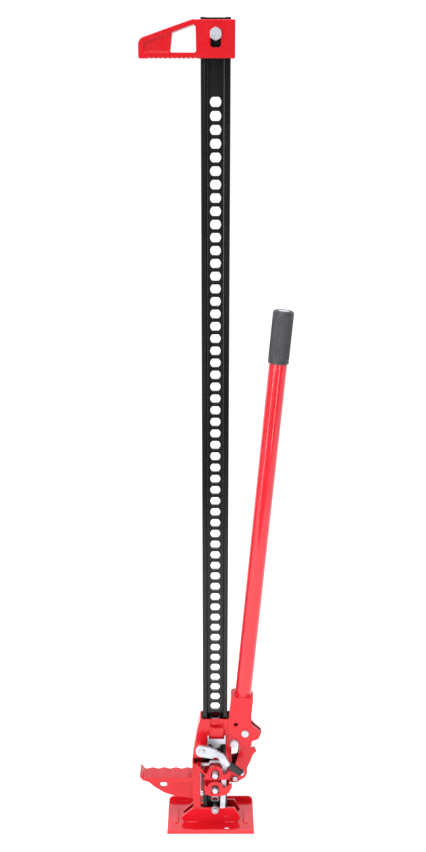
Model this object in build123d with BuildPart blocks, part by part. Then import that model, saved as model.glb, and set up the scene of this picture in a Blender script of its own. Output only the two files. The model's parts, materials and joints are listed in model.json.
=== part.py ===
from build123d import *
import math
import os

os.makedirs("parts", exist_ok=True)

# High-lift farm jack, 60 inch size, in millimetres.
# X points to the right of the jack, Y points to its back and Z points up.
# The origin is on the ground, below the middle of the upright bar.

# ---------------------------------------------------------------- driving dimensions
# upright bar: an I-section with a row of holes through its web
bar_width = 49.0
bar_depth = 25.4
bar_web = 5.0
bar_flange = 8.0
bar_root = 3.5
bar_top = 1523.0
hole_count = 64
hole_pitch = 21.7
first_hole_z = 29.3
hole_width = 18.6
hole_height = 15.3

# base
plate_width = 178.0
plate_depth = 119.0
plate_thick = 3.0
plate_x = -9.0
plate_y = 4.5
back_lip = 13.5
front_lip = 10.5
lip_thick = 3.0
bracket_wall = 4.0
bracket_web = 3.0
bar_bottom = plate_thick + bracket_web
bracket_y = bar_depth / 2 + 0.3

# the two runners are collars that slide on the bar
slide_gap = 0.4
pocket_width = bar_width + 2 * slide_gap
pocket_depth = bar_depth + 2 * slide_gap
collar_y = 18.0
collar_right = 29.2
column_left = -45.0
column_right = -29.7
column_y = 22.0

# climbing pins, each low in a hole of the bar, where the load brings them
pin_r = 6.0
running_gap = 0.06
pin_drop = 1.5
lower_pin_z = first_hole_z + 3 * hole_pitch - pin_drop
upper_pin_z = first_hole_z + 5 * hole_pitch - pin_drop
pin_tip_y = -3.5
cross_pin_r = 1.75
cross_pin_half = 9.0
upper_pin_front = -55.0
lower_pin_front = -42.0
upper_fork_y = -42.0
lower_fork_y = -38.0
fork_thick = 6.0

# handle: pivots at A on the large runner and drives the pitman at B
pivot_x = 38.5
pivot_z = 193.0
crank = hole_pitch
crank_x = pivot_x + crank
crank_z = pivot_z + crank
bolt_r = 5.0
ear_y = 13.4
cheek_in = 14.2
cheek_out = 20.0
handle_lean = 4.85
handle_foot = (51.8, 249.0)
socket_length = 47.0
pipe_r = 16.5
pipe_wall = 3.0
pipe_length = 793.0
grip_r = 18.8
grip_length = 95.5

# pitman: carries the stroke down to the small runner at C
pitman_y = 13.0
pitman_in = 8.6
foot_x = 41.0
foot_z = 106.0
foot_r = 4.0

# reversing latch on the front of the large runner
latch_x = -26.6
latch_z = 190.6
latch_y = -47.0
latch_thick = 6.0

# reversing bar: an upside-down L that hangs behind the two forks
rod_front = -31.0
rod_thick = 4.0

# top clamp
clamp_y = 18.5
clamp_bolt_z = 1498.0
tooth_pitch = 7.5


# ---------------------------------------------------------------- shared shapes
def front_view(y):
    """Sketch plane at depth y, seen from the front: X to the right and Z up."""
    return Plane.XZ.offset(-y)


def outline(*corners):
    """Closed outline; a corner is (across, up) or (across, up, rounding)."""
    radii = [corner[2] if len(corner) > 2 else 0 for corner in corners]
    with BuildSketch() as face:
        with BuildLine():
            FilletPolyline(*[corner[:2] for corner in corners], radius=radii, close=True)
        make_face()
    return face.sketch


def box_outline(left, right, bottom, top, rounding=0.0):
    """Upright rectangle with its four corners rounded."""
    r = rounding
    return outline((left, bottom, r), (right, bottom, r), (right, top, r), (left, top, r))


def hexagon(across_flats, flats_upright=True):
    """Hexagon of a bolt head or nut."""
    with BuildSketch() as face:
        RegularPolygon(across_flats / math.sqrt(3), 6, rotation=90 if flats_upright else 0)
    return face.sketch


def hex_bolt(x, z, head_y, tip_y, radius, across_flats, head):
    """Bolt along Y whose head stands in front of head_y, with its corners turned off."""
    with BuildPart() as bolt:
        with BuildSketch(front_view(head_y)):
            with Locations((x, z)):
                add(hexagon(across_flats))
        extrude(amount=head)
        with BuildSketch(front_view(head_y)):
            with Locations((x, z)):
                Circle(across_flats * 0.56)
        extrude(amount=head, taper=12, mode=Mode.INTERSECT)
        with BuildSketch(front_view(tip_y)):
            with Locations((x, z)):
                Circle(radius)
        extrude(amount=tip_y - head_y)
        chamfer(bolt.faces().sort_by(Axis.Y)[-1].edges(), radius * 0.15)
    return bolt.part


def hex_nut(x, z, near_y, far_y, radius, across_flats):
    """Nut behind a wall, between two depths."""
    with BuildPart() as nut:
        with BuildSketch(front_view(far_y)):
            with Locations((x, z)):
                add(hexagon(across_flats))
                Circle(radius, mode=Mode.SUBTRACT)
        extrude(amount=far_y - near_y)
    return nut.part


def washer(x, z, near_y, far_y, inner, outer):
    """Flat ring between two depths."""
    with BuildPart() as ring:
        with BuildSketch(front_view(far_y)):
            with Locations((x, z)):
                Circle(outer)
                Circle(inner, mode=Mode.SUBTRACT)
        extrude(amount=far_y - near_y)
    return ring.part


def coil(start, direction, radius, wire, length, turns):
    """Helical spring from a start point along a direction."""
    with BuildPart() as spring:
        with BuildLine():
            path = Helix(length / turns, length, radius, center=start, direction=direction)
        with BuildSketch(Plane(origin=path @ 0, z_dir=path % 0)):
            Circle(wire / 2)
        sweep(path=path)
    return spring.part


def save(part, name):
    """Write one sub-part to its own STEP file."""
    part.label = name
    export_step(part, f"parts/{name}.step")


# ---------------------------------------------------------------- base
rib_height = 2.2
rib_spots = ((-81.0, 3.0), (63.5, 3.0))
rib_length = 54.0
rib_width = 11.0
hole_spot = (24.0, -38.5)
plate_hole_r = 5.0

with BuildPart() as base_plate:
    with BuildSketch():
        with Locations((plate_x, plate_y)):
            Rectangle(plate_width, plate_depth)
    extrude(amount=plate_thick)
    # lips turned up along the back and the front edge
    left = plate_x - plate_width / 2
    right = plate_x + plate_width / 2
    with BuildSketch(front_view(plate_y + plate_depth / 2)):
        add(outline((left, 0), (right, 0), (right, back_lip, 10), (left, back_lip, 10)))
    extrude(amount=lip_thick)
    with BuildSketch(front_view(plate_y - plate_depth / 2 + lip_thick)):
        add(outline((left, 0), (right, 0), (right, front_lip, 4), (left, front_lip, 4)))
    extrude(amount=lip_thick)
    # two pressed ribs stiffen the ends
    with BuildSketch(Plane.XY.offset(plate_thick)):
        with Locations(*rib_spots):
            SlotOverall(rib_length, rib_width, rotation=90)
    extrude(amount=rib_height, taper=35)
    with BuildSketch(Plane.XY):
        with Locations(hole_spot):
            Circle(plate_hole_r)
    extrude(amount=plate_thick, mode=Mode.SUBTRACT)
save(base_plate.part, "base_plate")

# the bolt bears against the top of the bar's first hole
bolt_z = first_hole_z + 3.5
with BuildPart() as base_bracket:
    depth = 2 * (bracket_y + bracket_wall)
    with BuildSketch(front_view(depth / 2)):
        add(outline((-62, plate_thick), (44, plate_thick), (52.5, 13, 3),
                    (40, 37.5, 3), (-45, 37.5, 3), (-71, 13, 3)))
    extrude(amount=depth)
    with BuildSketch(Plane.XY.offset(bar_bottom)):
        with Locations((plate_x, 0)):
            Rectangle(plate_width, 2 * bracket_y)
    extrude(amount=60, mode=Mode.SUBTRACT)
    # the back wall slopes down earlier on the left than the front one
    with BuildSketch(front_view(depth / 2)):
        add(outline((-80, 3.9), (-72.2, 3.9), (-37.3, 37.5), (-37.3, 45), (-80, 45)))
    extrude(amount=bracket_wall, mode=Mode.SUBTRACT)
    with BuildSketch(front_view(depth / 2)):
        with Locations((0, bolt_z)):
            Circle(4.1)
    extrude(amount=depth, mode=Mode.SUBTRACT)
save(base_bracket.part, "base_bracket")

bracket_face = bracket_y + bracket_wall
base_washers = [
    washer(0, bolt_z, -bracket_face - 1.6, -bracket_face, 4.2, 8.0),
    washer(0, bolt_z, bracket_face, bracket_face + 1.6, 4.2, 8.0),
]
save(Compound(children=base_washers), "base_washers")
save(hex_bolt(0, bolt_z, -bracket_face - 1.6, bracket_face + 11, 4.0, 13.0, 5.3), "base_bolt")
save(hex_nut(0, bolt_z, bracket_face + 1.6, bracket_face + 8.1, 4.02, 13.0), "base_nut")

# ---------------------------------------------------------------- upright bar
with BuildSketch() as hole_shape:
    Circle(hole_width / 2)
    Rectangle(hole_width, hole_height, mode=Mode.INTERSECT)

with BuildPart() as steel_bar:
    with BuildSketch(Plane.XY.offset(bar_bottom)) as section:
        Rectangle(bar_width, bar_depth)
        fillet(section.vertices(), 1.2)
        channel = (bar_depth - bar_web) / 2
        for side in (1, -1):
            with Locations((0, side * (bar_web + channel) / 2)):
                Rectangle(bar_width - 2 * bar_flange, channel, mode=Mode.SUBTRACT)
        roots = [v for v in section.vertices() if abs(abs(v.Y) - bar_web / 2) < 0.01]
        fillet(roots, bar_root)
    extrude(amount=bar_top - bar_bottom)
    with BuildSketch(front_view(bar_depth / 2)):
        with Locations(*[(0, first_hole_z + n * hole_pitch) for n in range(hole_count)]):
            add(hole_shape.sketch)
        with Locations((0, clamp_bolt_z)):
            Circle(6.6)
    extrude(amount=bar_depth, mode=Mode.SUBTRACT)
save(steel_bar.part, "steel_bar")

# ---------------------------------------------------------------- top clamp
clamp_bottom = 1462.0
clamp_top = 1519.5
tooth_depth = 1.0
recess = 2.5

with BuildPart() as top_clamp:
    with BuildSketch(front_view(clamp_y)):
        add(outline((-125, clamp_bottom, 1.5), (31.5, clamp_bottom, 2), (31.5, clamp_top, 2),
                    (-38, clamp_top, 6), (-125, 1491, 13)))
    extrude(amount=2 * clamp_y)
    fillet(top_clamp.faces().filter_by(Axis.Y).edges().filter_by(GeomType.LINE), 1.2)
    # window through the arm
    with BuildSketch(front_view(clamp_y)):
        add(outline((-73.6, 1470.6, 2.5), (-31.4, 1470.6, 3.5),
                    (-32.4, 1513.2, 4), (-70.0, 1500.4, 2)))
    extrude(amount=2 * clamp_y, mode=Mode.SUBTRACT)
    # hollow faces of the nose, inside a raised rim
    for y, depth in ((clamp_y, recess), (-clamp_y, -recess)):
        with BuildSketch(front_view(y)):
            add(outline((-117, 1470.5, 3), (-73.5, 1470.5), (-70.0, 1501.5), (-117, 1485.5, 8)))
        extrude(amount=depth, taper=45, mode=Mode.SUBTRACT)
    # gripping teeth below the arm
    with BuildSketch(front_view(clamp_y)):
        for n in range(11):
            x = -108.0 + n * tooth_pitch
            add(outline((x - 2.4, clamp_bottom - 0.1), (x + 2.4, clamp_bottom - 0.1),
                        (x + 1.4, clamp_bottom + tooth_depth), (x - 1.4, clamp_bottom + tooth_depth)))
    extrude(amount=2 * clamp_y, mode=Mode.SUBTRACT)
    # pocket that slips over the bar
    with BuildSketch(Plane.XY.offset(clamp_bottom)):
        Rectangle(bar_width + 0.4, bar_depth + 0.4)
    extrude(amount=clamp_top - clamp_bottom, mode=Mode.SUBTRACT)
    # upright slot for the bolt, through both walls
    with BuildSketch(front_view(clamp_y)):
        add(box_outline(-8.5, 8.5, 1478, 1506, 5))
    extrude(amount=2 * clamp_y, mode=Mode.SUBTRACT)
save(top_clamp.part, "top_clamp")

clamp_washers = [
    washer(0, clamp_bolt_z, clamp_y, clamp_y + 2.5, 6.6, 12.5),
]
save(Compound(children=clamp_washers), "top_clamp_washer")
save(hex_bolt(0, clamp_bolt_z, -clamp_y, clamp_y + 16, 6.0, 19.0, 7.5), "top_clamp_bolt")
save(hex_nut(0, clamp_bolt_z, clamp_y + 2.5, clamp_y + 12.5, 6.02, 19.0), "top_clamp_nut")


# ---------------------------------------------------------------- runners
def fork(centre_z, valley_z, arms, foot):
    """Front plate of a runner: an arch round the climbing pin between two raised arms."""
    left_arm, right_arm = arms
    with BuildSketch() as plate:
        add(outline((left_arm[0], left_arm[1]), (-17.5, valley_z, 5), (-10, centre_z + 12, 4),
                    (10, centre_z + 12, 4), (18.5, valley_z, 5), (right_arm[0], right_arm[1], 1.5),
                    *foot))
        with Locations((0, centre_z + 4)):
            Circle(15.5)
        with Locations((0, centre_z + 3)):
            Circle(8.2, mode=Mode.SUBTRACT)
        add(box_outline(-8.2, 8.2, centre_z - 8.6, centre_z + 3), mode=Mode.SUBTRACT)
    return plate.sketch


top_z = 246.0
mouth_depth = 6.0
large_bottom = 121.0
small_top = 111.0
small_bottom = 79.0
column_foot = 40.5
toe_tip = -153.0
toe_top = 111.0
toe_y = 19.0
web_y = 3.0
wave_length = 24.0
wave_height = 1.5

with BuildPart() as large_runner:
    # collar round the bar, with its left edge sloping out to the column
    with BuildSketch(front_view(collar_y)):
        add(outline((-30, top_z, 4), (collar_right, top_z, 2), (collar_right, large_bottom, 1),
                    (column_left, large_bottom), (-46.5, 150), (-43, 178), (-36, 222)))
    extrude(amount=2 * collar_y)
    # column down the left side to the lifting toe
    with BuildSketch(front_view(8)):
        add(outline((column_right, column_foot), (column_right, 152, 3), (-46.5, 152),
                    (column_left, column_foot, 2)))
    extrude(amount=8 + column_y)
    # toe: a wide wavy top flange on a narrower web
    with BuildSketch(front_view(web_y)):
        add(outline((column_left + 2, 50), (-82, 57, 30), (-104, 64.5, 30), (-125, 79, 30),
                    (-137, 91), (-140, 104), (column_left + 2, 104)))
    extrude(amount=2 * web_y)
    waves = [
        (x, toe_top + wave_height * math.cos(2 * math.pi * (x - toe_tip) / wave_length))
        for x in range(-138, -46, 4)
    ]
    with BuildSketch(front_view(toe_y)):
        with BuildLine():
            crest = Spline((toe_tip + 5, toe_top + 5), *waves, (column_left + 2, toe_top + 3))
            Polyline(crest @ 1, (column_left + 2, 100), (-134, 100), (-148, 105), (toe_tip - 0.5, 112),
                     (toe_tip, toe_top + 11), crest @ 0)
        make_face()
    extrude(amount=2 * toe_y)
    with BuildSketch(front_view(web_y)):
        with Locations((-106, 84.5)):
            Circle(7.3)
    extrude(amount=2 * web_y, mode=Mode.SUBTRACT)
    # ear for the handle's shear bolt, with a rib below it that ends in front of the pitman's back plate
    with BuildSketch(front_view(pitman_in - 0.6)):
        add(box_outline(collar_right - 2, 33.4, 143, 186, 1.5))
    extrude(amount=pitman_in - 0.6 + ear_y)
    with BuildSketch(front_view(ear_y)):
        add(outline((collar_right - 2, 180), (42, 183.5, 7), (48.5, 190, 5), (48.5, 200, 7),
                    (42, 205, 5), (collar_right - 2, 210)))
    extrude(amount=2 * ear_y)
    # front block, and the boss of the reversing latch
    with BuildSketch(front_view(-collar_y + 1)):
        add(box_outline(-10, 16, 204, 230, 1.5))
    extrude(amount=7)
    with BuildSketch(front_view(-collar_y + 1)):
        with Locations((latch_x, latch_z)):
            Circle(9)
    extrude(amount=-(latch_y + latch_thick / 2) - collar_y - 0.2 + 1)
    # fork with the ribs that tie it to the collar and the column
    with BuildSketch(front_view(upper_fork_y + fork_thick)):
        add(fork(132.5, 129.5, ((-31, 152.5), (33, 143.5)),
                 ((31.5, 132, 3), (23, large_bottom, 3), (-15, large_bottom, 3), (-20, 130, 4),
                  (-31, 142))))
    extrude(amount=fork_thick)
    rib = -collar_y + 1 - (upper_fork_y + 1)
    with BuildSketch(front_view(-collar_y + 1)):
        add(box_outline(-21.5, -13, large_bottom, 134))
        add(box_outline(24.6, collar_right, large_bottom, 140))
    extrude(amount=rib)
    with BuildSketch(front_view(-column_y + 1)):
        add(outline((-37, 128, 2), (column_right - 0.3, 128), (column_right - 0.3, 151.5), (-37, 151.5, 3)))
    extrude(amount=-upper_fork_y - column_y + 1)
    # lug that holds the foot of the long spring
    with BuildSketch(Plane.YZ.offset(column_right - 1)):
        add(box_outline(-column_y, -column_y + 2.5, 50, 54))
    extrude(amount=6)
    # pocket for the bar, wider at its mouth
    with BuildSketch(Plane.XY.offset(column_foot)):
        Rectangle(pocket_width, pocket_depth)
    extrude(amount=220, mode=Mode.SUBTRACT)
    with BuildSketch(Plane.XY.offset(top_z)):
        Rectangle(pocket_width + 5, pocket_depth + 3)
    extrude(amount=-mouth_depth, mode=Mode.SUBTRACT)
    # shallow recess above the block, and the opening behind the latch
    with BuildSketch(front_view(-collar_y + 2.5)):
        add(box_outline(-10, 17, 230, top_z + 4))
    extrude(amount=2.6, mode=Mode.SUBTRACT)
    with BuildSketch(front_view(-collar_y + 3)):
        add(box_outline(-7, 8, 232.5, 240, 3))
    extrude(amount=2)
    with BuildSketch(front_view(-pocket_depth / 2 + 1)):
        add(box_outline(-14, 21, 160.5, 200, 3))
    extrude(amount=6, mode=Mode.SUBTRACT)
    # low window in the front wall, behind the arm of the reversing bar
    with BuildSketch(front_view(-pocket_depth / 2 + 1)):
        add(box_outline(-43, -6, 146.5, 157.5, 2))
    extrude(amount=10.5, mode=Mode.SUBTRACT)
    # bores for the climbing pin and the two bolts
    with BuildSketch(front_view(0)):
        with Locations((0, upper_pin_z)):
            Circle(pin_r + running_gap)
    extrude(amount=30, mode=Mode.SUBTRACT)
    with BuildSketch(front_view(30)):
        with Locations((pivot_x, pivot_z)):
            Circle(bolt_r + 0.02)
    extrude(amount=60, mode=Mode.SUBTRACT)
    with BuildSketch(front_view(-collar_y + 2)):
        with Locations((latch_x, latch_z)):
            Circle(4.0)
    extrude(amount=40, mode=Mode.SUBTRACT)
save(large_runner.part, "large_runner")

with BuildPart() as small_runner:
    with BuildSketch(front_view(collar_y)):
        add(box_outline(-collar_right, collar_right, small_bottom, small_top, 2))
    extrude(amount=2 * collar_y)
    # ear for the pin at the pitman's foot
    with BuildSketch(front_view(8)):
        add(outline((collar_right - 2, 92), (40, 97.5, 6), (48, 101, 4), (48, 110.5, 4),
                    (collar_right - 2, 110.5)))
    extrude(amount=16)
    with BuildSketch(front_view(lower_fork_y + fork_thick)):
        add(fork(94.6, 97.0, ((-21.5, 109), (34, 109)),
                 ((34, 99, 6), (24, 83, 8), (8, small_bottom, 4), (-8, small_bottom, 4),
                  (-16, 83, 5), (-21.5, 95, 4))))
    extrude(amount=fork_thick)
    with BuildSketch(front_view(-collar_y + 1)):
        add(box_outline(-21.0, -13, small_bottom + 3, 94))
        add(box_outline(24.6, collar_right, small_bottom + 8, 104))
    extrude(amount=-collar_y + 1 - (lower_fork_y + 1))
    with BuildSketch(Plane.XY.offset(small_bottom)):
        Rectangle(pocket_width, pocket_depth)
    extrude(amount=small_top - small_bottom, mode=Mode.SUBTRACT)
    with BuildSketch(front_view(0)):
        with Locations((0, lower_pin_z)):
            Circle(pin_r + running_gap)
    extrude(amount=30, mode=Mode.SUBTRACT)
    with BuildSketch(front_view(20)):
        with Locations((foot_x, foot_z)):
            Circle(foot_r + 0.02)
    extrude(amount=40, mode=Mode.SUBTRACT)
save(small_runner.part, "small_runner")


# ---------------------------------------------------------------- climbing pins
def climbing_pin(z, front_y, cross_y):
    """Round pin with a domed front end, drilled for its cross pin."""
    with BuildPart() as pin:
        with BuildSketch(front_view(pin_tip_y)):
            with Locations((0, z)):
                Circle(pin_r)
        extrude(amount=pin_tip_y - front_y)
        fillet(pin.faces().sort_by(Axis.Y)[0].edges(), 2.2)
        chamfer(pin.faces().sort_by(Axis.Y)[-1].edges(), 1.2)
        with BuildSketch(Plane.YZ.offset(-20)):
            with Locations((cross_y, z)):
                Circle(cross_pin_r)
        extrude(amount=40, mode=Mode.SUBTRACT)
    return pin.part


def cross_pin(z, cross_y):
    """Short pin across a climbing pin."""
    with BuildPart() as pin:
        with BuildSketch(Plane.YZ.offset(-cross_pin_half)):
            with Locations((cross_y, z)):
                Circle(cross_pin_r - 0.02)
        extrude(amount=2 * cross_pin_half)
    return pin.part


upper_cross_y = -32.5
lower_cross_y = -30.0
for name, z, front_y, cross_y in (
    ("upper", upper_pin_z, upper_pin_front, upper_cross_y),
    ("lower", lower_pin_z, lower_pin_front, lower_cross_y),
):
    save(climbing_pin(z, front_y, cross_y), f"{name}_climbing_pin")
    save(cross_pin(z, cross_y), f"{name}_cross_pin")
    spring_length = -collar_y - cross_y - cross_pin_r - 2.0
    save(coil((0, -collar_y - 1.0, z), (0, -1, 0), pin_r + 1.4, 1.5, spring_length, 3.5),
         f"{name}_pin_spring")

# ---------------------------------------------------------------- yoke, reversing bar and long spring
with BuildPart() as pin_yoke:
    with BuildSketch(front_view(-28)):
        add(outline((-15, 197), (-8, 197, 2), (-3, 187.5, 3), (7, 187.5, 3), (12, 197, 2), (20.6, 197),
                    (20.6, 216, 1), (18, 216, 1), (18, 208), (-12.5, 208), (-12.5, 216, 1),
                    (-15, 216, 1)))
    extrude(amount=2.5)
    with BuildSketch(Plane.XY.offset(198)):
        for x in (-15, 18):
            with Locations((x + 1.3, -23.2)):
                Rectangle(2.6, 10.4)
    extrude(amount=9)
save(pin_yoke.part, "pin_yoke")

with BuildPart() as reversing_bar:
    with BuildSketch(front_view(rod_front + rod_thick)):
        add(outline((-28.5, 147, 1), (-12, 147, 1), (-9, 153, 2), (9, 153, 2), (12, 147, 1), (14, 147, 1),
                    (10.2, 46, 1), (20.5, 46, 1), (24.3, 152.5, 4), (13, 152.5, 2), (10, 158.5, 3),
                    (-10, 158.5, 3), (-13, 152.5, 2), (-28.5, 152.5, 2)))
        with Locations((-26, 149.8)):
            Circle(1.3, mode=Mode.SUBTRACT)
    extrude(amount=rod_thick)
save(reversing_bar.part, "reversing_bar")

spring_foot = 56.0
spring_head = 143.0
save(coil((-26, -24.6, spring_foot), (0, 0, 1), 2.2, 1.0, spring_head - spring_foot, 24),
     "long_spring")

# ---------------------------------------------------------------- reversing latch
stem = ((20.0, 164.5), (56.0, 137.5))
stem_angle = math.degrees(math.atan2(stem[1][1] - stem[0][1], stem[1][0] - stem[0][0]))
stem_length = math.dist(*stem)
stem_plane = Plane(origin=(stem[0][0], latch_y, stem[0][1]), x_dir=(0, 1, 0),
                   z_dir=(math.cos(math.radians(stem_angle)), 0, math.sin(math.radians(stem_angle))))
sleeve_start = 10.0
sleeve_length = 31.0

with BuildPart() as reversing_latch:
    with BuildSketch(front_view(latch_y + latch_thick / 2)):
        add(outline((-24, 178), (-6, 175, 4), (3, 180, 6), (13, 164.5, 6), (22, 157.5), (27, 166.5),
                    (18, 183, 7), (1, 194, 9), (-12, 199.5, 8), (-22, 202)))
        with Locations((latch_x, latch_z)):
            Circle(12)
            Circle(4.06, mode=Mode.SUBTRACT)
    extrude(amount=latch_thick)
    with BuildSketch(stem_plane):
        Rectangle(latch_thick, 9)
    extrude(amount=stem_length - 3)
    # round nose of the lever
    with BuildSketch(stem_plane.offset(sleeve_start + sleeve_length)):
        Circle(4.6)
    extrude(amount=4.5)
    stem_axis = Axis(stem_plane.origin, stem_plane.z_dir)
    fillet(reversing_latch.faces().sort_by(stem_axis)[-1].edges(), 1.5)
save(reversing_latch.part, "reversing_latch")

with BuildPart() as latch_sleeve:
    with BuildSketch(stem_plane.offset(sleeve_start)):
        SlotOverall(15, 10, rotation=90)
        Rectangle(latch_thick + 0.02, 9.02, mode=Mode.SUBTRACT)
    extrude(amount=sleeve_length - 0.1)
save(latch_sleeve.part, "latch_sleeve")

latch_front = latch_y - latch_thick / 2
with BuildPart() as latch_bolt:
    with BuildSketch(front_view(-collar_y + 1)):
        with Locations((latch_x, latch_z)):
            Circle(3.98)
    extrude(amount=-latch_front - collar_y + 1 + 0.4)
    with BuildSketch(front_view(latch_front - 0.3)):
        with Locations((latch_x, latch_z)):
            Circle(7)
    extrude(amount=3.4, taper=25)
save(latch_bolt.part, "latch_bolt")

# ---------------------------------------------------------------- handle
lean = math.radians(handle_lean)
handle_plane = Plane(origin=(handle_foot[0], 0, handle_foot[1]), x_dir=(math.cos(lean), 0, -math.sin(lean)),
                     z_dir=(math.sin(lean), 0, math.cos(lean)))

with BuildPart() as handle_socket:
    # two cheeks that reach down to the shear bolt and out to the hook
    with BuildSketch(front_view(cheek_out)):
        add(outline((30.4, 184.2, 8), (66, 184.2, 3), (73.5, 186.5, 2), (74, 197, 5), (82.5, 200, 2),
                    (87.5, 202.5, 3), (93, 217.5, 3), (87, 221.5, 2), (72.8, 234.5, 2), (71.5, 262),
                    (31.5, 262), (30.4, 240)))
    extrude(amount=2 * cheek_out)
    # the back cheek has a lower hook than the front one
    with BuildSketch(front_view(cheek_out)):
        add(outline((74, 250), (74, 224), (80, 218), (84, 200), (100, 200), (100, 250)))
    extrude(amount=cheek_out - cheek_in + 1, mode=Mode.SUBTRACT)
    with BuildSketch(front_view(cheek_out)):
        add(outline((68, 194), (88, 191.5, 3), (94.5, 196.5, 3), (93.5, 205, 2), (76, 221), (68, 226)))
    extrude(amount=cheek_out - cheek_in)
    with BuildSketch(handle_plane):
        with Locations((-2.1, 0)):
            Rectangle(44.2, 2 * cheek_out)
    extrude(amount=socket_length)
    # the socket is bent round the pipe, so that its back corners are round
    with BuildSketch(handle_plane):
        add(outline((-40, 5), (40, 5), (40, 30), (-40, 30)))
        add(outline((-24.2, 0), (20, 0), (20, cheek_out, 13), (-24.2, cheek_out, 13)), mode=Mode.SUBTRACT)
    extrude(amount=socket_length + 1, mode=Mode.SUBTRACT)
    # room for the runner's ear and the pitman between the cheeks
    with BuildSketch(front_view(cheek_in)):
        add(box_outline(20, 100, 175, handle_foot[1]))
    extrude(amount=2 * cheek_in, mode=Mode.SUBTRACT)
    # a thin edge of each cheek laps over the runner's collar
    lap = cheek_out - collar_y - 0.5
    for y in (cheek_out, -collar_y - 0.5):
        with BuildSketch(front_view(y)):
            add(outline((26.6, 189, 7), (36, 186), (36, 262), (29.4, 262), (26.6, 235)))
        extrude(amount=lap)
    with BuildSketch(handle_plane.offset(0.8)):
        Circle(pipe_r + 0.1)
    extrude(amount=socket_length, mode=Mode.SUBTRACT)
    with BuildSketch(front_view(cheek_out)):
        with Locations((pivot_x, pivot_z)):
            Circle(bolt_r + running_gap)
        with Locations((crank_x, crank_z)):
            Circle(bolt_r + 0.02)
        with Locations((41.5, 235)):
            Circle(4.2)
    extrude(amount=2 * cheek_out, mode=Mode.SUBTRACT)
    # tapped hole at the back for the bolt that keeps the pipe in
    with BuildSketch(front_view(cheek_out)):
        with Locations((53.6, 272)):
            Circle(4.05)
    extrude(amount=cheek_out, mode=Mode.SUBTRACT)
save(handle_socket.part, "handle_socket")

with BuildPart() as handle_pipe:
    with BuildSketch(handle_plane.offset(1.0)):
        Circle(pipe_r)
        Circle(pipe_r - pipe_wall, mode=Mode.SUBTRACT)
    extrude(amount=pipe_length)
    with BuildSketch(front_view(cheek_out)):
        with Locations((53.6, 272)):
            Circle(4.05)
    extrude(amount=cheek_out, mode=Mode.SUBTRACT)
save(handle_pipe.part, "handle_pipe")

grip_start = 715.5
with BuildPart() as handle_grip:
    with BuildSketch(handle_plane.offset(grip_start)):
        Circle(grip_r)
    extrude(amount=grip_length - 2)
    fillet(handle_grip.faces().sort_by(Axis.Z)[-1].edges(), 4)
    fillet(handle_grip.faces().sort_by(Axis.Z)[0].edges(), 1)
    with BuildSketch(handle_plane.offset(grip_start)):
        Circle(pipe_r + 0.02)
    extrude(amount=1.0 + pipe_length - grip_start, mode=Mode.SUBTRACT)
save(handle_grip.part, "handle_grip")

save(hex_bolt(pivot_x, pivot_z, -cheek_out - 0.3, cheek_out + 12, bolt_r, 17.0, 6.4), "shear_bolt")
save(hex_nut(pivot_x, pivot_z, cheek_out + 0.3, cheek_out + 8.3, bolt_r + 0.02, 17.0), "shear_nut")

with BuildPart() as pitman_upper_pin:
    with BuildSketch(front_view(cheek_out + 4)):
        with Locations((crank_x, crank_z)):
            Circle(bolt_r)
    extrude(amount=2 * cheek_out + 4)
    with BuildSketch(front_view(-cheek_out)):
        with Locations((crank_x, crank_z)):
            Circle(7.75)
    extrude(amount=3.2)
    fillet(pitman_upper_pin.faces().sort_by(Axis.Y)[0].edges(), 1.8)
save(pitman_upper_pin.part, "pitman_upper_pin")
save(washer(crank_x, crank_z, cheek_out, cheek_out + 1.6, bolt_r + 0.02, 8.5), "upper_pin_ring")

with BuildPart() as handle_bolt:
    with BuildSketch(front_view(pipe_r - 5)):
        with Locations((53.6, 272)):
            Circle(4.0)
    extrude(amount=-(cheek_out + 5.3 - pipe_r + 5))
    with BuildSketch(front_view(cheek_out)):
        with Locations((53.6, 272)):
            add(hexagon(13.0))
    extrude(amount=-5.3)
save(handle_bolt.part, "handle_bolt")

# ---------------------------------------------------------------- pitman
with BuildPart() as pitman:
    with BuildSketch(front_view(pitman_y)):
        add(outline((31.2, 96.0, 3), (44, 96.5, 6), (60.5, 107.5, 5), (65.5, 118, 4), (65.5, 131, 6),
                    (72, 147, 4), (76.5, 161, 6), (85, 172, 3), (73, 179, 2), (67, 186, 6), (70.5, 205, 8),
                    (70.5, 224.8, 9.5), (50.6, 224.8, 9.5), (50.6, 182, 5), (46.5, 158, 6), (40.5, 138, 6),
                    (31.2, 126, 4)))
    extrude(amount=2 * pitman_y)
    # the back plate reaches further to the left
    with BuildSketch(front_view(pitman_y)):
        add(outline((31.6, 120), (50, 130), (50, 152, 4), (31.6, 148, 3)))
    extrude(amount=pitman_y - pitman_in)
    # the back plate has a lower horn than the front one
    with BuildSketch(front_view(pitman_y)):
        add(outline((67.5, 171), (74, 165.8), (90, 157.5), (90, 184), (67.5, 184)))
    extrude(amount=pitman_y - pitman_in, mode=Mode.SUBTRACT)
    # hollow between the two side plates, closed by a spine down the right side
    with BuildSketch(front_view(pitman_in)):
        add(outline((20, 80), (90, 80), (90, 116), (61, 119), (61, 131), (68, 148), (72, 161),
                    (75, 168), (95, 168), (95, 235), (20, 235)))
    extrude(amount=2 * pitman_in, mode=Mode.SUBTRACT)
    with BuildSketch(front_view(pitman_y)):
        with Locations((crank_x, crank_z)):
            Circle(bolt_r + running_gap)
        # the lower eye is open to the left, so that the pitman can swing
        add(outline((20, foot_z - 5.6), (foot_x + 6, foot_z - 5.6, 5.5), (foot_x + 6, foot_z + 5.6, 5.5),
                    (20, foot_z + 5.6)))
    extrude(amount=2 * pitman_y, mode=Mode.SUBTRACT)
save(pitman.part, "pitman")

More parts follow.
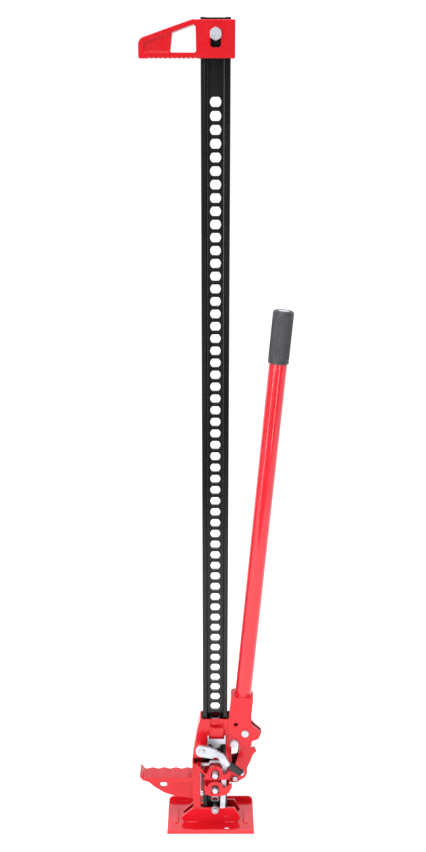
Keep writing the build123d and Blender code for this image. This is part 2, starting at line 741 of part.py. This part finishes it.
with BuildPart() as pitman_lower_pin:
    with BuildSketch(front_view(16)):
        with Locations((foot_x, foot_z)):
            Circle(foot_r)
    extrude(amount=32)
    for y in (16, -13.4):
        with BuildSketch(front_view(y)):
            with Locations((foot_x, foot_z)):
                Circle(4.8)
        extrude(amount=2.6)
save(pitman_lower_pin.part, "pitman_lower_pin")
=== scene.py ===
import json
import math

import bmesh
import bpy
from mathutils import Matrix, Vector


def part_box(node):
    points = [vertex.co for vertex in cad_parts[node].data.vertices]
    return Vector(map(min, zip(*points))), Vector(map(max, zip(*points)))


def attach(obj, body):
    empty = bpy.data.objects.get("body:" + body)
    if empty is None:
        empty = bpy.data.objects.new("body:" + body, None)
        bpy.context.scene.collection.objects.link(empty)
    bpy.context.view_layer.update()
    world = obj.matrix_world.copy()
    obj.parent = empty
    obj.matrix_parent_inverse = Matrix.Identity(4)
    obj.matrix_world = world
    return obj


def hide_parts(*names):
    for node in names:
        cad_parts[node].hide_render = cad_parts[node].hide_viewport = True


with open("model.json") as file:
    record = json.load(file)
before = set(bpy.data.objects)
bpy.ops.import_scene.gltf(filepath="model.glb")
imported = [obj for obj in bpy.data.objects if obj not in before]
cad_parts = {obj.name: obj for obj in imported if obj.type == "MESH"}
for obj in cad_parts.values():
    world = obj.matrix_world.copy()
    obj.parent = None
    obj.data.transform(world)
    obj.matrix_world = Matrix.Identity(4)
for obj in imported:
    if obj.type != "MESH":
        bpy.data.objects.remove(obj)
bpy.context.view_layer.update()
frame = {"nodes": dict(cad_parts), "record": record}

MM = 0.001
QUARTER = math.pi / 2
nodes = frame["nodes"]
slot_of = {part["node"]: part["material_slot"] for part in frame["record"]["subparts"]}


# ---------------------------------------------------------------- node helpers
# sockets of a Mix node that share their names: its two numbers and its two colours
MIX_NUMBERS = (2, 3)
MIX_COLOURS = (6, 7)
MIX_COLOUR_OUT = 2


class Graph:
    """A node tree that takes new nodes with their inputs filled."""

    def __init__(self, tree):
        self.tree = tree

    def fill(self, socket, value):
        """Link another node's output to a socket, or store a plain value in it."""
        if isinstance(value, bpy.types.NodeSocket):
            self.tree.links.new(value, socket)
        else:
            socket.default_value = value

    def fill_all(self, node, inputs):
        for name, value in inputs.items():
            self.fill(node.inputs[name.replace("_", " ")], value)

    def add(self, kind, **inputs):
        node = self.tree.nodes.new("ShaderNode" + kind)
        self.fill_all(node, inputs)
        return node


class Paint(Graph):
    """A node material with short calls for the textures that every finish here needs."""

    def __init__(self, name):
        self.material = bpy.data.materials.new(name)
        self.material.use_nodes = True
        super().__init__(self.material.node_tree)
        self.shader = self.tree.nodes["Principled BSDF"]
        self.place = self.add("TexCoord").outputs["Object"]

    def set(self, **inputs):
        self.fill_all(self.shader, inputs)

    def stretched(self, scale):
        """Object coordinates stretched by a scale, for grain that runs one way."""
        return self.add("Mapping", Scale=scale, Vector=self.place).outputs["Vector"]

    def noise(self, scale, detail=2.0, roughness=0.5, place=None):
        node = self.add("TexNoise", Scale=scale, Detail=detail, Roughness=roughness,
                        Vector=place or self.place)
        return node.outputs["Fac"]

    def cells(self, scale):
        return self.add("TexVoronoi", Scale=scale, Vector=self.place).outputs["Distance"]

    def spread(self, source, low, high, start=0.3, end=0.7):
        """The source's values from start to end, spread from low to high."""
        node = self.add("MapRange", From_Min=start, From_Max=end, To_Min=low, To_Max=high,
                        Value=source)
        return node.outputs["Result"]

    def blend(self, factor, first, second):
        """A mix of two colours, each a tuple or another node's output."""
        node = self.add("Mix", Factor=factor)
        node.data_type = "RGBA"
        for socket, colour in zip(MIX_COLOURS, (first, second)):
            self.fill(node.inputs[socket], (*colour, 1) if isinstance(colour, tuple) else colour)
        return node.outputs[MIX_COLOUR_OUT]

    def math(self, operation, *values):
        node = self.add("Math")
        node.operation = operation
        for socket, value in zip(node.inputs, values):
            self.fill(socket, value)
        return node.outputs["Value"]

    def within(self, *boxes):
        """One inside any of the boxes in object coordinates, given by corners in millimetres."""
        split = self.add("SeparateXYZ", Vector=self.place)
        total = None
        for low, high in boxes:
            mask = None
            for axis, start, end in zip("XYZ", low, high):
                middle = (start + end) / 2 * MM
                reach = (end - start) / 2 * MM
                side = self.math("COMPARE", split.outputs[axis], middle, reach)
                mask = side if mask is None else self.math("MULTIPLY", mask, side)
            total = mask if total is None else self.math("MAXIMUM", total, mask)
        return total

    def relief(self, height, distance, strength, under):
        """Normals of a fine relief on top of other normals."""
        node = self.add("Bump", Distance=distance, Strength=strength, Height=height, Normal=under)
        return node.outputs["Normal"]

    def soft_edges(self, radius):
        """Normals that round off the sharp edges by a small radius."""
        node = self.add("Bevel", Radius=radius)
        node.samples = 4
        return node.outputs["Normal"]


# ---------------------------------------------------------------- kinds of finish
# noises by scale and detail, and reliefs by depth and strength
ENAMEL_PATCHES = {"scale": 14.0, "detail": 3.0}
ENAMEL_GLOSS = {"scale": 55.0}
ENAMEL_PEEL = {"scale": 650.0, "detail": 1.0}
ENAMEL_GRAIN = {"detail": 4.0, "roughness": 0.6}
PEEL_RELIEF = {"distance": 0.06 * MM, "strength": 0.6}
GRAIN_STRENGTH = 0.8
ENAMEL_ROUGHNESS = (0.28, 0.40)
# painted shade: dark red with a thin coat, painted on the faces inside the boxes where shade falls
# between the walls
PAINTED_SHADE_RED = (0.11, 0.0022, 0.0045)
PAINTED_SHADE_COAT = 0.1


def enamel(name, main, deep, grain, grain_depth, edge, coat, shade_boxes=(), shade_colour=PAINTED_SHADE_RED):
    """Gloss paint, uneven in colour and gloss over a grainy surface, with shade painted dark inside
    the boxes.
    """
    paint = Paint(name)
    colour = paint.blend(paint.spread(paint.noise(**ENAMEL_PATCHES), 0.0, 1.0), main, deep)
    coat_weight = coat
    if shade_boxes:
        # painted shade: inside the boxes the colour turns dark red and the coat thins
        mask = paint.within(*shade_boxes)
        colour = paint.blend(mask, colour, shade_colour)
        coat_weight = paint.spread(mask, coat, PAINTED_SHADE_COAT * coat, start=0.0, end=1.0)
    gloss = paint.spread(paint.noise(**ENAMEL_GLOSS), *ENAMEL_ROUGHNESS)
    peel = paint.relief(paint.noise(**ENAMEL_PEEL), under=paint.soft_edges(edge), **PEEL_RELIEF)
    cast = paint.relief(paint.noise(grain, **ENAMEL_GRAIN), grain_depth, GRAIN_STRENGTH, peel)
    paint.set(Base_Color=colour, Roughness=gloss, Normal=cast, IOR=1.4, Specular_IOR_Level=0.3)
    paint.set(Coat_Weight=coat_weight, Coat_Roughness=0.06, Coat_Normal=peel)
    return paint.material


ROLLING_MARKS = {"scale": 90.0, "detail": 3.0, "roughness": 0.6}
ROLLING_STRETCH = (1.0, 1.0, 0.03)
ROLLING_RELIEF = {"distance": 0.12 * MM, "strength": 0.5}
BAR_PEEL = {"scale": 500.0, "detail": 1.0}
BAR_EDGE = 0.8 * MM
FINE_RELIEF = {"distance": 0.04 * MM, "strength": 0.5}
BAR_BLACK = (0.004, 0.004, 0.0042)
BAR_GREY = (0.007, 0.007, 0.0075)
BAR_ROUGHNESS = (0.16, 0.30)
HOLE_REFLECTION_GREY = (0.20, 0.20, 0.205)
# painted reflection: pale grey on the punched faces of the bar's holes, inside the thickness of its
# web, where the gloss black reflects the bright backdrop
HOLE_FACES = ((-9.5, -2.46, 10.0), (9.5, 2.46, 1480.0))


def bar_paint():
    """Black stove enamel with faint rolling marks along the bar, and a painted grey reflection on
    the punched faces of its holes.
    """
    paint = Paint("bar_black")
    marks = paint.noise(place=paint.stretched(ROLLING_STRETCH), **ROLLING_MARKS)
    colour = paint.blend(paint.spread(marks, 0.0, 1.0), BAR_BLACK, BAR_GREY)
    # painted reflection: the holes' punched faces are coloured pale grey
    colour = paint.blend(paint.within(HOLE_FACES), colour, HOLE_REFLECTION_GREY)
    lines = paint.relief(marks, under=paint.soft_edges(BAR_EDGE), **ROLLING_RELIEF)
    skin = paint.relief(paint.noise(**BAR_PEEL), under=lines, **FINE_RELIEF)
    paint.set(Base_Color=colour, Roughness=paint.spread(marks, *BAR_ROUGHNESS), Normal=skin)
    paint.set(IOR=1.4, Specular_IOR_Level=0.46)
    return paint.material


PLATE_BLOOM = {"scale": 75.0, "detail": 3.0}
PLATE_GLOSS = {"scale": 300.0, "detail": 3.0}
SMALL_EDGE = 0.4 * MM


def plated(name, bright, dull, rough, grain):
    """Zinc plate: a pale metal with a mottled, slightly milky gloss."""
    paint = Paint(name)
    bloom = paint.spread(paint.noise(**PLATE_BLOOM), 0.0, 1.0)
    gloss = paint.spread(paint.noise(**PLATE_GLOSS), *rough)
    skin = paint.relief(paint.noise(grain), under=paint.soft_edges(SMALL_EDGE), **FINE_RELIEF)
    paint.set(Base_Color=paint.blend(bloom, bright, dull), Roughness=gloss, Normal=skin)
    paint.set(Metallic=0.6)
    return paint.material


RUBBER_BLOOM = {"scale": 70.0, "detail": 4.0, "roughness": 0.6}
RUBBER_GLOSS = {"scale": 200.0}
PORE_RELIEF = {"distance": 0.08 * MM, "strength": 0.5}


def rubber(name, main, pale, rough, grain):
    """Moulded rubber with a fine matt skin and a little bloom."""
    paint = Paint(name)
    bloom = paint.spread(paint.noise(**RUBBER_BLOOM), 0.0, 1.0)
    gloss = paint.spread(paint.noise(**RUBBER_GLOSS), *rough)
    pores = paint.relief(paint.cells(grain), under=paint.soft_edges(SMALL_EDGE), **PORE_RELIEF)
    paint.set(Base_Color=paint.blend(bloom, main, pale), Roughness=gloss, Normal=pores)
    return paint.material


# ---------------------------------------------------------------- finishes of the pieces
# boxes in millimetres where shade is painted dark: the runner's pocket with its mouth, and its low
# window, where the shadow is painted on the front face too, and the gaps between the side plates of
# the other three
FAR = 2000.0
RUNNER_PAINTED_SHADE = (((-25.1, -13.2, 0.0), (25.1, 13.2, FAR)),
                 ((-27.6, -14.9, 239.9), (27.6, 14.9, 245.8)),
                 ((-43.1, -22.0, 146.4), (-5.9, -12.0, 157.6)))
SOCKET_PAINTED_SHADE = (((0.0, -14.3, 150.0), (120.0, 14.3, 249.1)),)
PITMAN_PAINTED_SHADE = (((0.0, -8.7, 0.0), (120.0, 8.7, 300.0)),)
BRACKET_PAINTED_SHADE = (((-90.0, -13.05, 6.1), (90.0, 13.05, 60.0)),)

RED = (0.63, 0.0050, 0.0135)
DEEP_RED = (0.55, 0.004, 0.0100)
SAND_CAST = {"grain": 330.0, "grain_depth": 0.22 * MM, "edge": 1.2 * MM}
PRESSED = {"grain": 120.0, "grain_depth": 0.06 * MM, "edge": 0.8 * MM}
DRAWN = {"grain": 60.0, "grain_depth": 0.03 * MM, "edge": 0.4 * MM}
CAST = {"main": RED, "deep": DEEP_RED, "coat": 0.5, **SAND_CAST}
finish = {
    # painted shade: these finishes are dark red inside their boxes, where shade falls
    "runner_cast_painted_shade": enamel("runner_cast_painted_shade", shade_boxes=RUNNER_PAINTED_SHADE, **CAST),
    "socket_cast_painted_shade": enamel("socket_cast_painted_shade", shade_boxes=SOCKET_PAINTED_SHADE, **CAST),
    "pitman_cast_painted_shade": enamel("pitman_cast_painted_shade", shade_boxes=PITMAN_PAINTED_SHADE, **CAST),
    # painted light: the bracket's reds are lighter than the cast red to make up for the shade near
    # the plate; shade is painted dark red inside its walls
    "bracket_sheet_painted_light_and_shade": enamel("bracket_sheet_painted_light_and_shade", main=(0.72, 0.0090, 0.020), deep=(0.65, 0.0065, 0.016),
                            coat=1.0, shade_boxes=BRACKET_PAINTED_SHADE, shade_colour=(0.30, 0.003, 0.006),
                            **PRESSED),
    "red_cast": enamel("red_cast", **CAST),
    "clamp_cast": enamel("clamp_cast", main=(0.47, 0.0032, 0.0090), deep=(0.43, 0.0026, 0.0078),
                         coat=0.25, **SAND_CAST),
    "red_sheet": enamel("red_sheet", main=(0.72, 0.0055, 0.0150), deep=(0.65, 0.0045, 0.0120),
                        coat=1.0, **PRESSED),
    "red_tube": enamel("red_tube", main=(0.70, 0.008, 0.021), deep=RED, coat=0.9, **DRAWN),
    "black_paint": bar_paint(),
    "zinc": plated("zinc_plate", bright=(0.60, 0.61, 0.645), dull=(0.42, 0.435, 0.48),
                   rough=(0.26, 0.40), grain=300.0),
    "spring_steel": plated("spring_wire", bright=(0.26, 0.25, 0.24), dull=(0.14, 0.135, 0.13),
                           rough=(0.25, 0.4), grain=700.0),
    "black_rubber": rubber("sleeve_rubber", main=(0.006, 0.006, 0.0065),
                           pale=(0.012, 0.012, 0.0125), rough=(0.45, 0.6), grain=1400.0),
    "grip_rubber": rubber("grip_rubber", main=(0.028, 0.028, 0.032), pale=(0.044, 0.044, 0.049),
                          rough=(0.42, 0.55), grain=1600.0),
}
# the other nodes in red paint have the plain red cast
RED_KIND = {"base_plate": "red_sheet", "base_bracket": "bracket_sheet_painted_light_and_shade", "handle_pipe": "red_tube",
            "large_runner": "runner_cast_painted_shade", "top_clamp": "clamp_cast",
            "handle_socket": "socket_cast_painted_shade", "pitman": "pitman_cast_painted_shade"}


def finish_of(node):
    slot = slot_of[node]
    return finish[RED_KIND.get(node, "red_cast")] if slot == "red_paint" else finish[slot]


for name, piece in nodes.items():
    piece.data.materials.clear()
    piece.data.materials.append(finish_of(name))


# ---------------------------------------------------------------- mesh helpers
def add_mesh(name, points, faces, material, body):
    """A smooth mesh object in the row frame that rides on a body."""
    mesh = bpy.data.meshes.new(name)
    mesh.from_pydata([tuple(p) for p in points], [], faces)
    mesh.validate()
    work = bmesh.new()
    work.from_mesh(mesh)
    bmesh.ops.recalc_face_normals(work, faces=work.faces)
    work.to_mesh(mesh)
    work.free()
    for face in mesh.polygons:
        face.use_smooth = True
    mesh.materials.append(material)
    piece = bpy.data.objects.new(name, mesh)
    bpy.context.scene.collection.objects.link(piece)
    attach(piece, body)
    return piece


def grid_faces(rows, columns, looped=False):
    """Quads between closed rows of points; looped also joins the last row to the first."""
    faces = []
    for row in range(rows if looped else rows - 1):
        near = row * columns
        far = (row + 1) % rows * columns
        for column in range(columns):
            following = (column + 1) % columns
            faces.append((near + column, near + following, far + following, far + column))
    return faces


def tube_faces(rows, columns):
    """Quads between closed rows of points, and a flat face over each end."""
    last = (rows - 1) * columns
    ends = [tuple(range(columns - 1, -1, -1)), tuple(range(last, last + columns))]
    return grid_faces(rows, columns) + ends


def ring_mesh(name, rings, segments, place, material, body):
    """Closed mesh of rings, each given by its height and its radius as a function of the angle."""
    points = []
    for height, radius in rings:
        for step in range(segments):
            angle = 2 * math.pi * step / segments
            r = radius(angle)
            points.append(place @ Vector((r * math.cos(angle), r * math.sin(angle), height)))
    return add_mesh(name, points, tube_faces(len(rings), segments), material, body)


def round_ring(radius):
    return lambda angle: radius


# ---------------------------------------------------------------- ribbed grip of the handle
# the handle's lean to the right
LEAN = math.radians(4.85)
RIBS = 30
POINTS_PER_RIB = 8
RIB_DEPTH = 0.9 * MM
FOOT_ROUND, FOOT_STEPS = 0.8 * MM, 3
TOP_ROUND, TOP_STEPS = 4.5 * MM, 6
# rings in millimetres: height over the foot or depth under the top, rib share, inset
FOOT_RINGS = ((5.0, 0.0, 0.0), (5.6, 0.0, 0.5), (6.8, 0.0, 0.5), (7.4, 0.0, 0.0),
              (9.5, 0.0, 0.0), (11.0, 1.0, 0.0))
SHOULDER_RINGS = ((12.0, 1.0, 0.0), (9.0, 0.0, 0.0))
MOUTH_RINGS = ((0.05, 0.0, 9.0), (0.5, 0.0, 9.6))

grip_low, grip_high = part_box("handle_grip")
grip_axis = Vector((math.sin(LEAN), 0, math.cos(LEAN)))
grip_r = (grip_high.y - grip_low.y) / 2
grip_length = ((grip_high.z - grip_low.z) - 2 * grip_r * math.sin(LEAN)) / math.cos(LEAN)
grip_foot = (grip_low + grip_high) / 2 - grip_axis * grip_length / 2
grip_turn = Matrix.Rotation(LEAN, 4, "Y")
grip_place = Matrix.Translation(grip_foot) @ grip_turn


def ribbed(share, inset=0.0):
    """Radius round the grip, with ribs of a share of their full depth."""
    return lambda angle: grip_r - inset - share * RIB_DEPTH * (0.5 - 0.5 * math.cos(RIBS * angle))


def round_end(radius, steps, top):
    """Rings that round off the grip's top or foot by a radius."""
    rings = []
    for step in range(steps + 1):
        turn = QUARTER * step / steps
        if top:
            height = grip_length - radius + radius * math.sin(turn)
            inset = radius * (1 - math.cos(turn))
        else:
            height = radius * (1 - math.cos(turn))
            inset = radius * (1 - math.sin(turn))
        rings.append((height, ribbed(0.0, inset)))
    return rings


def under_top(table):
    """Rings of a table whose depths are measured down from the grip's top."""
    return [(grip_length - depth * MM, ribbed(share, inset * MM)) for depth, share, inset in table]


grip_rings = round_end(FOOT_ROUND, FOOT_STEPS, False)
grip_rings += [(height * MM, ribbed(share, inset * MM)) for height, share, inset in FOOT_RINGS]
grip_rings += under_top(SHOULDER_RINGS)
grip_rings += round_end(TOP_ROUND, TOP_STEPS, True)
grip_rings += under_top(MOUTH_RINGS)
grip = ring_mesh("ribbed_grip", grip_rings, RIBS * POINTS_PER_RIB, grip_place,
                 finish["grip_rubber"], "handle")
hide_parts("handle_grip")

# pale plug in the open end of the grip, a shallow dome
PLUG_R = 13.0 * MM
PLUG_SEGMENTS = 60
PLUG_STEPS = 5
PLUG_FOOT_DEPTH = 0.6 * MM
PLUG_EDGE_DEPTH = 0.45 * MM
PLUG_DOME = 0.4 * MM
PLUG_NARROWING = 0.35
plug_rings = [(grip_length - PLUG_FOOT_DEPTH, round_ring(PLUG_R))]
for step in range(PLUG_STEPS + 1):
    rise = QUARTER * step / PLUG_STEPS
    plug_rings.append((grip_length - PLUG_EDGE_DEPTH + PLUG_DOME * math.sin(rise),
                       round_ring(PLUG_R * (1 - PLUG_NARROWING * (1 - math.cos(rise))))))
ring_mesh("grip_plug", plug_rings, PLUG_SEGMENTS, grip_place, finish["zinc"], "handle")


# ---------------------------------------------------------------- bolt threads
THREAD_STEPS = 28
THREAD_FADE = 10
THREAD_TIP = 0.6 * MM
THREAD_SINK = 0.1 * MM
THREAD_WIDTH = 0.9
# the ridge's section: place along the bolt in pitches, and rise in millimetres
THREAD_PROFILE = ((-0.46, -0.25), (-0.08, 0.30), (0.08, 0.30), (0.46, -0.25))


def thread(name, node, start, shank, pitch, body):
    """Rolled thread on the free end of a bolt along Y, from a depth to the bolt's tip."""
    low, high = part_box(node)
    centre = (low + high) / 2
    tip = high.y - THREAD_TIP
    steps = int((tip - start) / pitch * THREAD_STEPS)
    points = []
    for step in range(steps + 1):
        angle = 2 * math.pi * step / THREAD_STEPS
        fade = min(1.0, step / THREAD_FADE, (steps - step) / THREAD_FADE)
        along = start + (tip - start) * step / steps
        for across, proud in THREAD_PROFILE:
            r = shank + proud * MM * fade - THREAD_SINK
            points.append((centre.x + r * math.cos(angle), along + across * pitch * THREAD_WIDTH,
                           centre.z + r * math.sin(angle)))
    faces = tube_faces(steps + 1, len(THREAD_PROFILE))
    return add_mesh(name, points, faces, finish["zinc"], body)


def end_of(node):
    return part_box(node)[1].y


# piece, bolt, nut, shank radius and pitch in millimetres, body
THREADS = (("base_bolt_thread", "base_bolt", "base_nut", 4.0, 1.25, "mast"),
           ("clamp_bolt_thread", "top_clamp_bolt", "top_clamp_nut", 6.0, 1.75, "mast"),
           ("shear_bolt_thread", "shear_bolt", "shear_nut", 5.0, 1.5, "large_runner"))
for name, bolt, nut, shank, pitch, body in THREADS:
    thread(name, bolt, end_of(nut), shank * MM, pitch * MM, body)


# ---------------------------------------------------------------- welds of the base
WELD_SIZE = 2.0 * MM
WELD_SINK = 0.3 * MM
WELD_THIN = 0.02 * MM
WELD_END = 2.0 * MM
WELD_COLUMNS = 7
WELD_STEP = 0.5 * MM
# share of the bead's size and pitch along it
WELD_RIPPLE = (0.10, 2.6 * MM)
WELD_WANDER = (0.08, 9.0 * MM)
# left and right ends in millimetres
WELD_SPANS = ((-61, -34), (20, 43))


def weld(name, start, end, outward):
    """Rippled bead in the corner between the plate and the bracket, along X."""
    length = (end - start).length
    along = (end - start).normalized()
    out, up = Vector(outward), Vector((0, 0, 1))
    steps = int(length / WELD_STEP)
    points = []
    for step in range(steps + 1):
        share = step / steps
        run = share * length
        ripple = 1 + WELD_RIPPLE[0] * math.cos(2 * math.pi * run / WELD_RIPPLE[1])
        wander = 1 + WELD_WANDER[0] * math.sin(run / WELD_WANDER[1])
        fade = min(1.0, (run / WELD_END) ** 0.5, ((1 - share) * length / WELD_END) ** 0.5)
        r = max(WELD_SIZE * ripple * wander * fade, WELD_THIN)
        corner = start + along * length * share
        for column in range(WELD_COLUMNS):
            turn = QUARTER * column / (WELD_COLUMNS - 1)
            points.append(corner + out * (r * math.cos(turn) - WELD_SINK)
                          + up * (r * math.sin(turn) - WELD_SINK))
        points.append(corner - out * WELD_SINK - Vector((0, 0, WELD_SINK)))
    faces = tube_faces(steps + 1, WELD_COLUMNS + 1)
    return add_mesh(name, points, faces, finish["red_sheet"], "mast")


bracket_low, bracket_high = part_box("base_bracket")
for side, wall, way in (("front", bracket_low.y, -1), ("back", bracket_high.y, 1)):
    for count, (left, right) in enumerate(WELD_SPANS):
        weld(f"weld_{side}_{count}", Vector((left * MM, wall, bracket_low.z)),
             Vector((right * MM, wall, bracket_low.z)), (0, way, 0))

SPOT_PLACES = (-27.5, -22.0, 21.5, 27.0)
SPOT_HEIGHT = 12 * MM
SPOT_R = 1.9 * MM
SPOT_DOME = 0.9 * MM
SPOT_SINK = 0.5 * MM
SPOT_TIP_R = 0.02 * MM
SPOT_STEPS = 6
SPOT_SEGMENTS = 20


def spot_weld(name, x):
    """Small domed spot weld on the front of the bracket."""
    place = Matrix.Translation((x, bracket_low.y, bracket_low.z + SPOT_HEIGHT))
    rings = [(-SPOT_SINK, round_ring(SPOT_R))]
    for step in range(SPOT_STEPS + 1):
        turn = QUARTER * step / SPOT_STEPS
        rings.append((SPOT_DOME * math.sin(turn), round_ring(SPOT_R * math.cos(turn) + SPOT_TIP_R)))
    return ring_mesh(name, rings, SPOT_SEGMENTS, place @ Matrix.Rotation(QUARTER, 4, "X"),
                     finish["red_sheet"], "mast")


for count, x in enumerate(SPOT_PLACES):
    spot_weld(f"spot_weld_{count}", x * MM)


# ---------------------------------------------------------------- weld of the pipe's socket
RING_STEPS, RING_COLUMNS = 120, 10
RING_R = 16.8 * MM
RING_BEAD = 1.8 * MM
# share of the bead's size and number of waves round the pipe
RING_RIPPLE = (0.07, 34)
RING_WANDER = (0.05, 3)
# foot of the pipe's socket, and the height of the bead along the lean
SOCKET_FOOT = Vector((51.8, 0, 249.0)) * MM
BEAD_HEIGHT = 47.2 * MM


def ring_weld(name, place, middle, size, body):
    """Rippled bead that runs round a pipe."""
    points = []
    for step in range(RING_STEPS):
        angle = 2 * math.pi * step / RING_STEPS
        tube = size * (1 + RING_RIPPLE[0] * math.cos(RING_RIPPLE[1] * angle)
                       + RING_WANDER[0] * math.sin(RING_WANDER[1] * angle))
        for column in range(RING_COLUMNS):
            turn = 2 * math.pi * column / RING_COLUMNS
            r = middle + tube * math.cos(turn)
            points.append(place @ Vector((r * math.cos(angle), r * math.sin(angle),
                                          tube * math.sin(turn))))
    faces = grid_faces(RING_STEPS, RING_COLUMNS, looped=True)
    return add_mesh(name, points, faces, finish["red_tube"], body)


socket_top = SOCKET_FOOT + grip_axis * BEAD_HEIGHT
ring_weld("socket_weld", Matrix.Translation(socket_top) @ grip_turn, RING_R, RING_BEAD, "handle")

# ---------------------------------------------------------------- camera
CAMERA_PLACE = (-0.0043, -2.0351, 1.4013)
CAMERA_DIP = math.radians(21.418)
camera_data = bpy.data.cameras.new("camera")
camera_data.sensor_fit = "VERTICAL"
camera_data.sensor_height = 36.0
camera_data.lens = 48.61
camera_data.shift_y = 0.1455
camera_data.clip_start = 0.05
camera_data.clip_end = 60.0
camera = bpy.data.objects.new("camera", camera_data)
camera.location = CAMERA_PLACE
camera.rotation_euler = (QUARTER - CAMERA_DIP, 0, 0)
bpy.context.scene.collection.objects.link(camera)
bpy.context.scene.camera = camera

# ---------------------------------------------------------------- floor
FLOOR_REACH = 15.0
FLOOR_FRONT = -1.7
FLOOR_GLOW = 0.40
FLOOR_CLOUDS = 3.0
FLOOR_DARK = (0.93, 0.93, 0.93)
FLOOR_PALE = (0.96, 0.96, 0.96)
floor_mesh = bpy.data.meshes.new("floor")
floor_mesh.from_pydata([(-FLOOR_REACH, FLOOR_FRONT, 0), (FLOOR_REACH, FLOOR_FRONT, 0),
                        (FLOOR_REACH, FLOOR_REACH, 0), (-FLOOR_REACH, FLOOR_REACH, 0)],
                       [], [(0, 1, 2, 3)])
floor = bpy.data.objects.new("floor", floor_mesh)
bpy.context.scene.collection.objects.link(floor)
floor_paint = Paint("pale_floor")
floor_tone = floor_paint.blend(floor_paint.noise(FLOOR_CLOUDS), FLOOR_DARK, FLOOR_PALE)
floor_paint.set(Base_Color=floor_tone, Roughness=0.9, Specular_IOR_Level=0.1,
                Emission_Color=(1, 1, 1, 1), Emission_Strength=FLOOR_GLOW)
floor_mesh.materials.append(floor_paint.material)

# ---------------------------------------------------------------- world
# brightness of the white backdrop, and of the light from behind and from the camera's side
BACKDROP = 1.12
WORLD_BACK = 1.20
WORLD_FRONT = 0.18
WORLD_COLOUR = (0.94, 0.945, 1.0, 1)
# depths of the view direction between which the brightness rises
FALLOFF_FROM = -0.90
FALLOFF_TO = 0.70
world = bpy.data.worlds.new("studio")
bpy.context.scene.world = world
world.use_nodes = True
sky = Graph(world.node_tree)
direction = sky.add("SeparateXYZ", Vector=sky.add("TexCoord").outputs["Generated"])
falloff = sky.add("MapRange", Value=direction.outputs["Y"], From_Min=FALLOFF_FROM,
                  From_Max=FALLOFF_TO, To_Min=WORLD_FRONT, To_Max=WORLD_BACK)
falloff.interpolation_type = "SMOOTHSTEP"
brightness = sky.add("Mix", Factor=sky.add("LightPath").outputs["Is Camera Ray"])
for socket, value in zip(MIX_NUMBERS, (falloff.outputs["Result"], BACKDROP)):
    sky.fill(brightness.inputs[socket], value)
sky.fill_all(sky.tree.nodes["Background"], {"Strength": brightness.outputs[0],
                                            "Color": WORLD_COLOUR})


# ---------------------------------------------------------------- lights
def softbox(name, azimuth, distance, height, width, tall, power, aim):
    """Rectangular light at an azimuth from the front, facing a height above the origin."""
    data = bpy.data.lights.new(name, "AREA")
    data.shape = "RECTANGLE"
    data.size = width
    data.size_y = tall
    data.energy = power
    light = bpy.data.objects.new(name, data)
    bpy.context.scene.collection.objects.link(light)
    turn = math.radians(azimuth)
    light.location = (distance * math.sin(turn), -distance * math.cos(turn), height)
    facing = Vector((0, 0, aim)) - light.location
    light.rotation_euler = facing.to_track_quat("-Z", "Y").to_euler()


softbox("strip_left", azimuth=-46, distance=2.6, height=0.95, width=0.32, tall=1.9,
        power=15.0, aim=0.95)
softbox("strip_right", azimuth=21, distance=2.6, height=0.7, width=0.46, tall=1.4,
        power=14.0, aim=0.7)
softbox("key", azimuth=-26, distance=3.0, height=0.95, width=1.3, tall=1.1,
        power=33.0, aim=0.15)
softbox("top", azimuth=-10, distance=0.9, height=2.6, width=1.4, tall=1.4,
        power=36.0, aim=0.1)

bpy.context.scene.view_settings.view_transform = "Standard"
bpy.context.scene.view_settings.look = "None"
